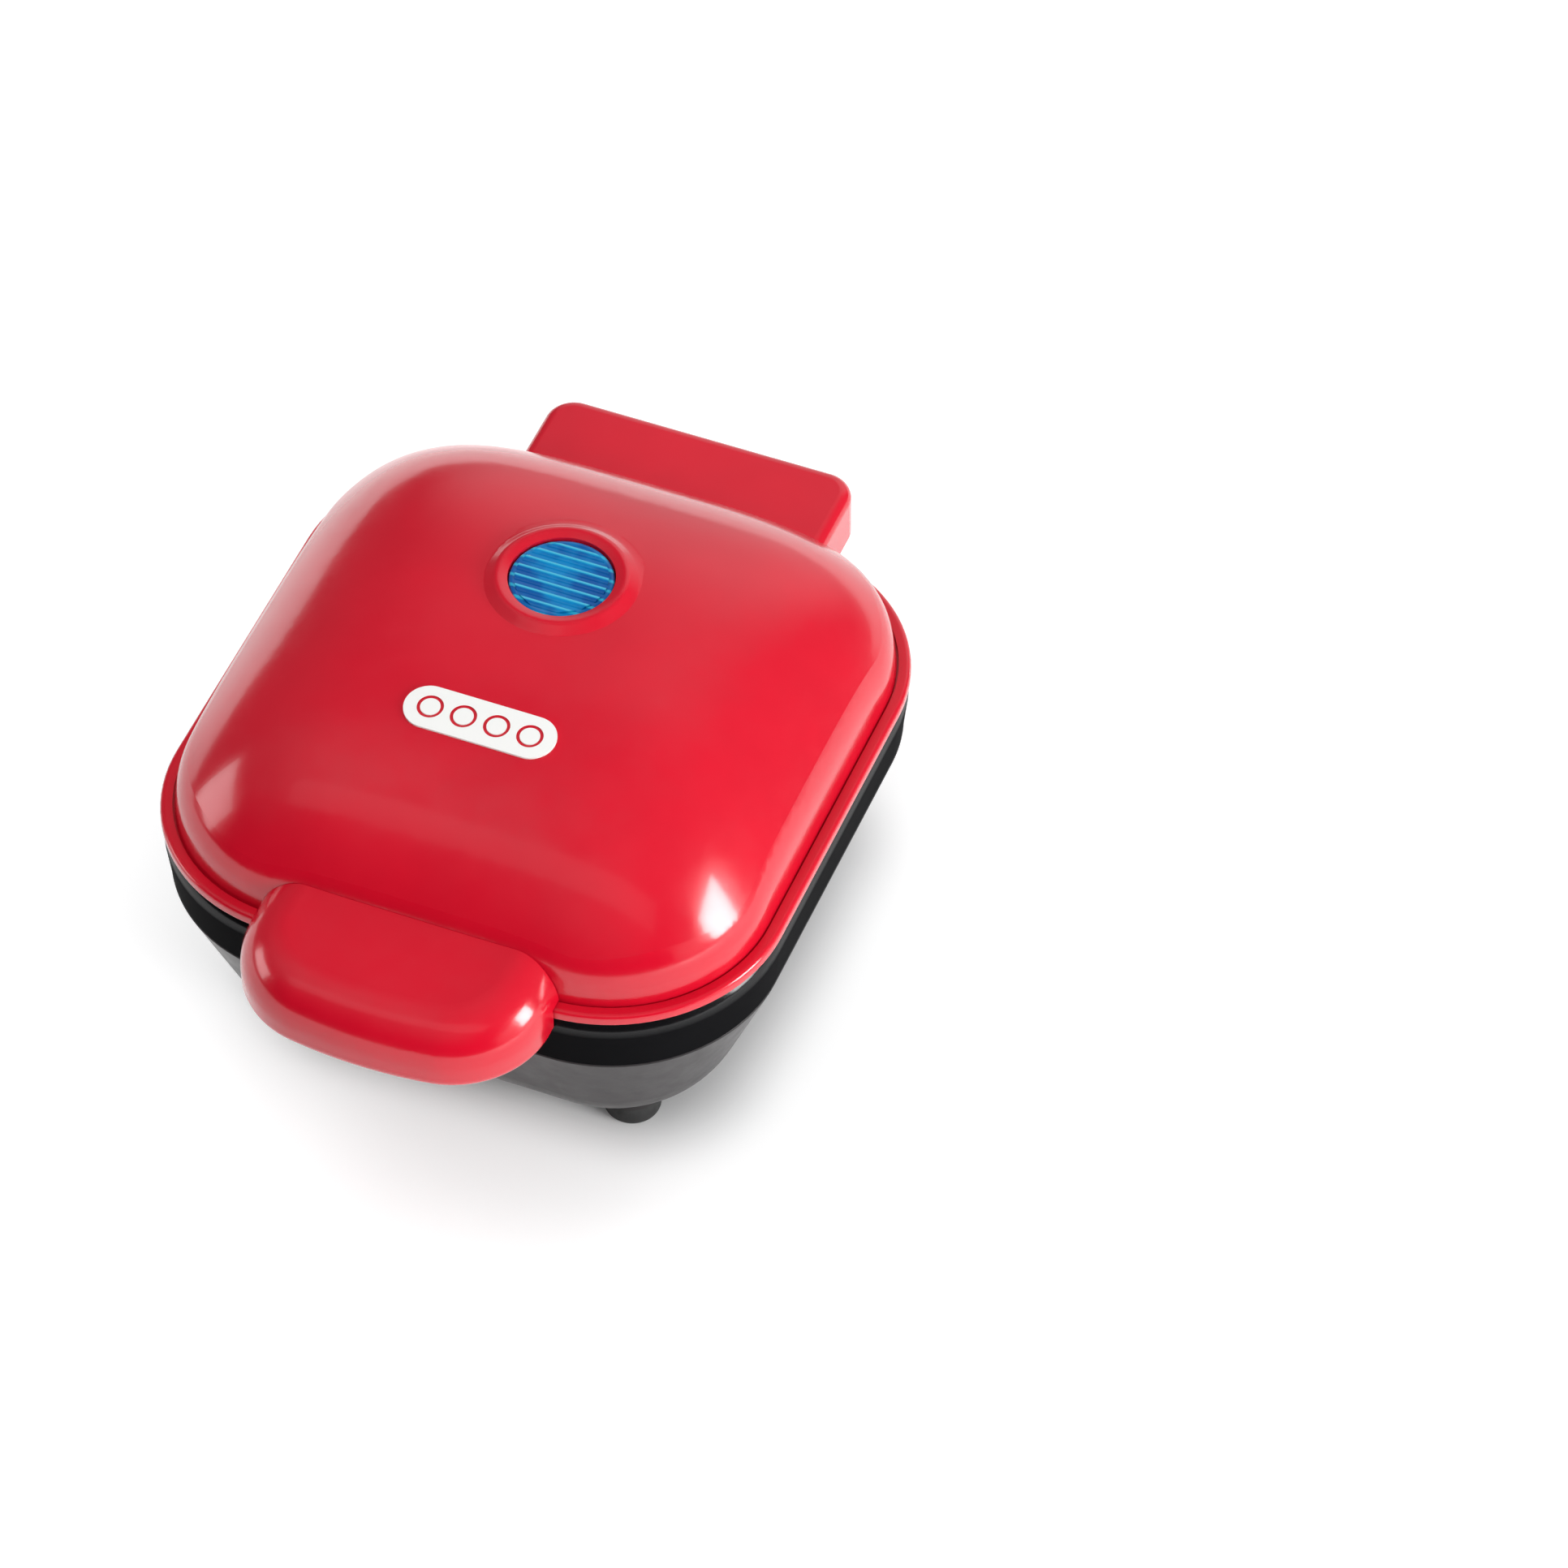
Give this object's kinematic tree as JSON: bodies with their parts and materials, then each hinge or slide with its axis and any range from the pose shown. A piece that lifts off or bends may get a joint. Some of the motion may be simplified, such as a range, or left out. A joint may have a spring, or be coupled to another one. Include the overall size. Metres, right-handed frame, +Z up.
{
  "type": "egg bite maker",
  "caption": "Small countertop cooker with a domed, hinged lid, a front handle and a heated water tray holding silicone egg cups.",
  "frame": {"origin": "on the table, under the middle of the object's box: midway between the handle's front and the hinge's back", "axes": "+X to the right, +Y to the back (the hinge), +Z up; the handle points to -Y"},
  "size_m": [0.155, 0.214, 0.1055],
  "materials": {
    "gloss_red": "glossy moulded red plastic",
    "gloss_black": "glossy moulded black plastic",
    "nonstick_black": "dark nonstick coating on aluminium",
    "screw_steel": "zinc-plated steel",
    "white_plastic": "satin white",
    "blue_lens": "clear blue moulded lens",
    "lamp_glass": "clear glass",
    "wire_black": "black sleeve",
    "wire_white": "woven heat-resistant sleeve",
    "heater_steel": "heat-tinted steel",
    "shield_aluminium": "bright sheet",
    "ceramic": "unglazed ceramic",
    "rubber_black": "matt black rubber",
    "silicone_red": "soft matt silicone"
  },
  "bodies": {
    "base": {"base_collar": "gloss_black", "hinge_pin": "screw_steel", "base_shell": "gloss_black", "water_tray": "nonstick_black", "base_screws": "screw_steel", "heating_element": "heater_steel", "heater_terminals": "screw_steel", "element_clamps": "shield_aluminium", "thermostat": "heater_steel", "thermal_fuse": "screw_steel", "fuse_clip": "shield_aluminium", "heat_shield": "shield_aluminium", "terminal_block": "ceramic", "supply_leads": "wire_white", "heater_leads": "wire_white", "cord_gland": "rubber_black", "foot_front_left": "rubber_black", "foot_front_right": "rubber_black", "foot_rear_left": "rubber_black", "foot_rear_right": "rubber_black"},
    "lid": {"lid_cover": "gloss_red", "lid_frame": "gloss_red", "handle": "gloss_red", "handle_cover": "gloss_red", "handle_screws": "screw_steel", "badge": "white_plastic", "indicator_lens": "blue_lens", "lamp_socket": "white_plastic", "neon_lamp": "lamp_glass", "lamp_lead": "wire_black", "lid_plate": "nonstick_black", "lid_plate_screws": "screw_steel", "lid_screws": "screw_steel", "hinge_plug": "gloss_red"},
    "egg_cup_front_left": {"egg_cup_front_left": "silicone_red"},
    "egg_cup_front_right": {"egg_cup_front_right": "silicone_red"},
    "egg_cup_rear_left": {"egg_cup_rear_left": "silicone_red"},
    "egg_cup_rear_right": {"egg_cup_rear_right": "silicone_red"}
  },
  "joints": [
    {"name": "lid_hinge", "type": "hinge", "parent": "base", "child": "lid", "pos_m": [0, 0.0935, 0.0595], "axis": [-1, 0, 0], "range_deg": [0, 100]},
    {"name": "egg_cup_front_left_lift", "type": "slide", "parent": "base", "child": "egg_cup_front_left", "axis": [0, 0, 1], "range_m": [0, 0.008]},
    {"name": "egg_cup_front_right_lift", "type": "slide", "parent": "base", "child": "egg_cup_front_right", "axis": [0, 0, 1], "range_m": [0, 0.008]},
    {"name": "egg_cup_rear_left_lift", "type": "slide", "parent": "base", "child": "egg_cup_rear_left", "axis": [0, 0, 1], "range_m": [0, 0.008]},
    {"name": "egg_cup_rear_right_lift", "type": "slide", "parent": "base", "child": "egg_cup_rear_right", "axis": [0, 0, 1], "range_m": [0, 0.008]}
  ]
}
